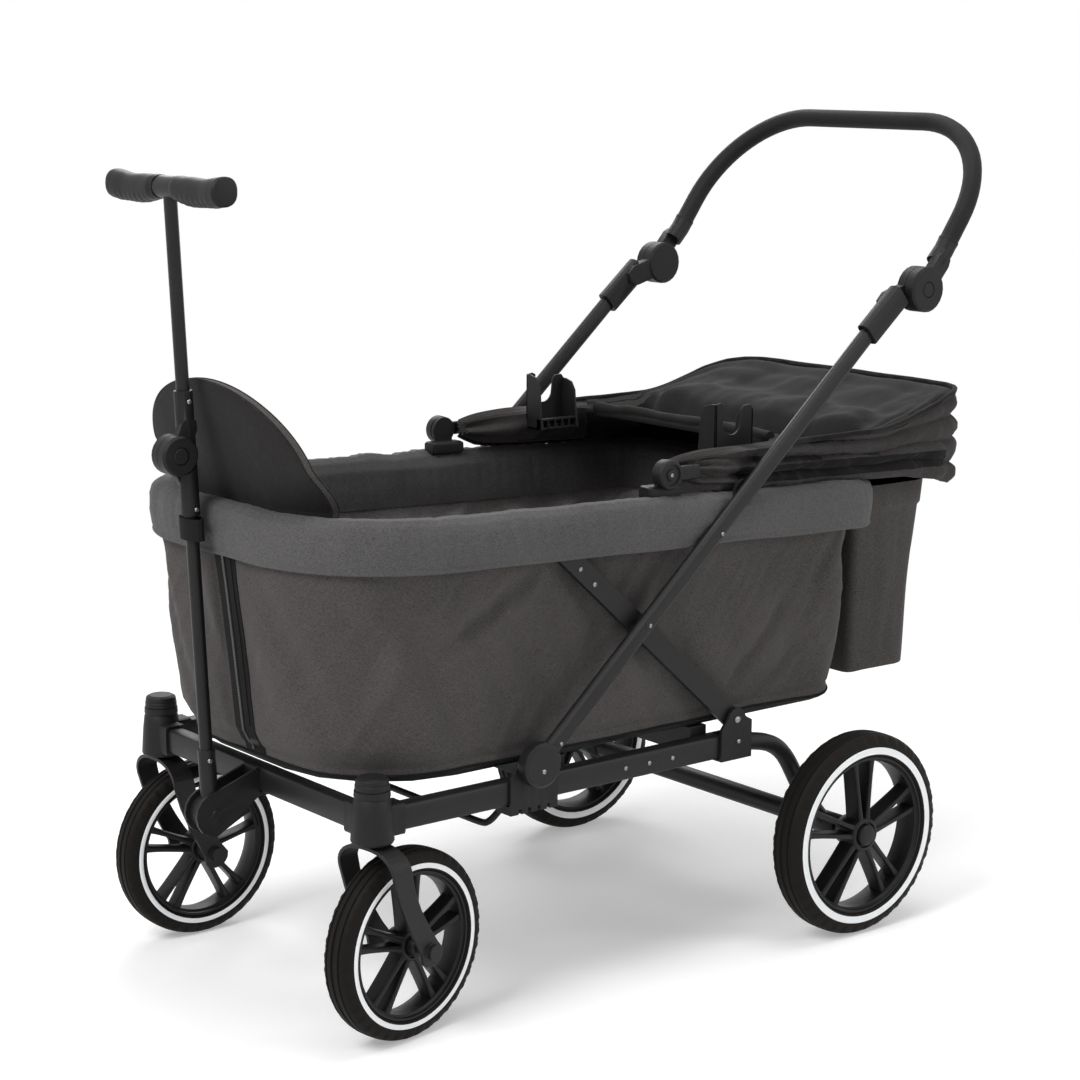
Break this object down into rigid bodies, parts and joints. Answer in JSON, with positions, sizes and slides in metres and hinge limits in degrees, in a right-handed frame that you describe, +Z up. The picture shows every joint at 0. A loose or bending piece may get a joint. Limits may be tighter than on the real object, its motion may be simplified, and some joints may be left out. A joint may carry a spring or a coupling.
{
  "type": "folding wagon",
  "caption": "Folding push and pull wagon with a cloth tub, fold-back canopy, caster front wheels, large spoked rear wheels and two folding handles.",
  "frame": {"origin": "centre of the bounding box in plan, on the ground", "axes": "+X towards the rear with the push handle, -X towards the pull handle, +Y the wagon's right side, +Z up"},
  "size_m": [1.2953, 0.7064, 1.1829],
  "materials": {
    "frame": "satin black powder coat",
    "plastic": "fine black grain",
    "tyre": "matte",
    "wheel": "satin",
    "cloth": "dark grey melange weave",
    "rim_cloth": "grey melange weave",
    "foam": "matte foam",
    "webbing": "black woven tape"
  },
  "bodies": {
    "chassis": {"front_crossbar": "frame", "side_rail_left": "frame", "side_rail_right": "frame", "caster_housing_left": "plastic", "caster_housing_right": "plastic", "caster_cap_left": "plastic", "caster_cap_right": "plastic", "rear_bracket_left": "frame", "rear_bracket_right": "frame", "rear_leg_left": "frame", "rear_leg_right": "frame", "rear_axle": "frame", "floor_bar_middle": "frame", "floor_bar_rear": "frame", "floor_tray": "plastic", "bag": "cloth", "pull_bracket": "frame"},
    "struts": {"fold_strut_left": "frame", "fold_strut_right": "frame"},
    "push_arms": {"push_arm_left": "frame", "push_arm_right": "frame", "arm_collar_left": "plastic", "arm_collar_right": "plastic"},
    "slider": {"slider_block_left": "plastic", "slider_block_right": "plastic"},
    "release_bar": {"release_bar": "frame"},
    "rim": {"top_rim": "frame", "rim_sleeve": "rim_cloth", "front_panel": "cloth", "rear_pocket": "cloth", "canopy_base_left": "plastic", "canopy_base_right": "plastic"},
    "canopy": {"canopy": "cloth", "canopy_clip_left": "plastic", "canopy_clip_right": "plastic"},
    "push_handle": {"push_handle_tube": "frame", "foam_grip": "foam", "handle_hinge_left": "plastic", "handle_hinge_right": "plastic"},
    "hinge_button_left": {"hinge_button_left": "plastic"},
    "hinge_button_right": {"hinge_button_right": "plastic"},
    "pull_lower": {"pull_lower_tube": "frame", "pull_joint_lower": "plastic", "handle_strap": "webbing"},
    "pull_upper": {"pull_upper_tube": "frame", "pull_joint_upper": "plastic", "pull_grip_left": "plastic", "pull_grip_right": "plastic"},
    "pull_button": {"pull_joint_button": "plastic"},
    "caster_left": {"caster_fork_left": "frame"},
    "front_wheel_left": {"front_tyre_left": "tyre", "front_wheel_left": "wheel"},
    "rear_wheel_left": {"rear_tyre_left": "tyre", "rear_wheel_left": "wheel"},
    "caster_right": {"caster_fork_right": "frame"},
    "front_wheel_right": {"front_tyre_right": "tyre", "front_wheel_right": "wheel"},
    "rear_wheel_right": {"rear_tyre_right": "tyre", "rear_wheel_right": "wheel"}
  },
  "joints": [
    {"name": "frame_fold", "type": "hinge", "parent": "chassis", "child": "struts", "pos_m": [0.1185, 0, 0.342], "axis": [0, -1, 0], "range_deg": [0, 26], "deforming": ["bag"]},
    {"name": "arm_cross", "type": "hinge", "parent": "struts", "child": "push_arms", "pos_m": [-0.06443, 0, 0.50498], "axis": [0, 1, 0], "range_deg": [0, 52]},
    {"name": "slider_turn", "type": "hinge", "parent": "push_arms", "child": "slider", "pos_m": [-0.24735, 0, 0.342], "axis": [0, -1, 0], "range_deg": [0, 26]},
    {"name": "rim_turn", "type": "hinge", "parent": "push_arms", "child": "rim", "pos_m": [0.12223, 0, 0.67129], "axis": [0, -1, 0], "range_deg": [0, 26]},
    {"name": "release_bar_pull", "type": "hinge", "parent": "slider", "child": "release_bar", "pos_m": [-0.26235, 0, 0.2807], "axis": [0, 1, 0], "range_deg": [0, 20], "stiffness_Nm_per_rad": 2, "springref_deg": -2.86},
    {"name": "canopy_fold", "type": "hinge", "parent": "rim", "child": "canopy", "pos_m": [-0.0035, 0, 0.70322], "axis": [0, -1, 0], "range_deg": [0, 100]},
    {"name": "push_handle_hinge", "type": "hinge", "parent": "push_arms", "child": "push_handle", "pos_m": [0.45698, 0, 0.93445], "axis": [0, 1, 0], "range_deg": [-35, 60]},
    {"name": "hinge_button_left_press", "type": "slide", "parent": "push_handle", "child": "hinge_button_left", "axis": [0, 1, 0], "range_m": [0, 0.004], "stiffness_N_per_m": 600, "springref_m": -0.001},
    {"name": "hinge_button_right_press", "type": "slide", "parent": "push_handle", "child": "hinge_button_right", "axis": [0, -1, 0], "range_m": [0, 0.004], "stiffness_N_per_m": 600, "springref_m": -0.001},
    {"name": "pull_handle_tilt", "type": "hinge", "parent": "chassis", "child": "pull_lower", "pos_m": [-0.57855, 0, 0.268], "axis": [0, -1, 0], "range_deg": [0, 87]},
    {"name": "pull_handle_fold", "type": "hinge", "parent": "pull_lower", "child": "pull_upper", "pos_m": [-0.6215, 0, 0.75494], "axis": [0, -1, 0], "range_deg": [0, 180]},
    {"name": "pull_button_press", "type": "slide", "parent": "pull_upper", "child": "pull_button", "axis": [0, 1, 0], "range_m": [0, 0.004], "stiffness_N_per_m": 600, "springref_m": -0.001},
    {"name": "caster_swivel_left", "type": "hinge", "parent": "chassis", "child": "caster_left", "pos_m": [-0.4985, -0.263, 0.277], "axis": [0, 0, 1], "continuous": true},
    {"name": "front_wheel_spin_left", "type": "hinge", "parent": "caster_left", "child": "front_wheel_left", "pos_m": [-0.44418, -0.2544, 0.128], "axis": [0.1564, -0.9877, 0], "continuous": true},
    {"name": "rear_wheel_spin_left", "type": "hinge", "parent": "chassis", "child": "rear_wheel_left", "pos_m": [0.3175, -0.3252, 0.15], "axis": [0, 1, 0], "continuous": true},
    {"name": "caster_swivel_right", "type": "hinge", "parent": "chassis", "child": "caster_right", "pos_m": [-0.4985, 0.263, 0.277], "axis": [0, 0, 1], "continuous": true},
    {"name": "front_wheel_spin_right", "type": "hinge", "parent": "caster_right", "child": "front_wheel_right", "pos_m": [-0.44351, 0.26396, 0.128], "axis": [0.0175, -0.9998, 0], "continuous": true},
    {"name": "rear_wheel_spin_right", "type": "hinge", "parent": "chassis", "child": "rear_wheel_right", "pos_m": [0.3175, 0.3252, 0.15], "axis": [0, 1, 0], "continuous": true}
  ],
  "couplings": [
    {"joint": "arm_cross", "follows": "frame_fold", "ratio": 2},
    {"joint": "slider_turn", "follows": "frame_fold", "ratio": 1},
    {"joint": "rim_turn", "follows": "frame_fold", "ratio": 1}
  ]
}
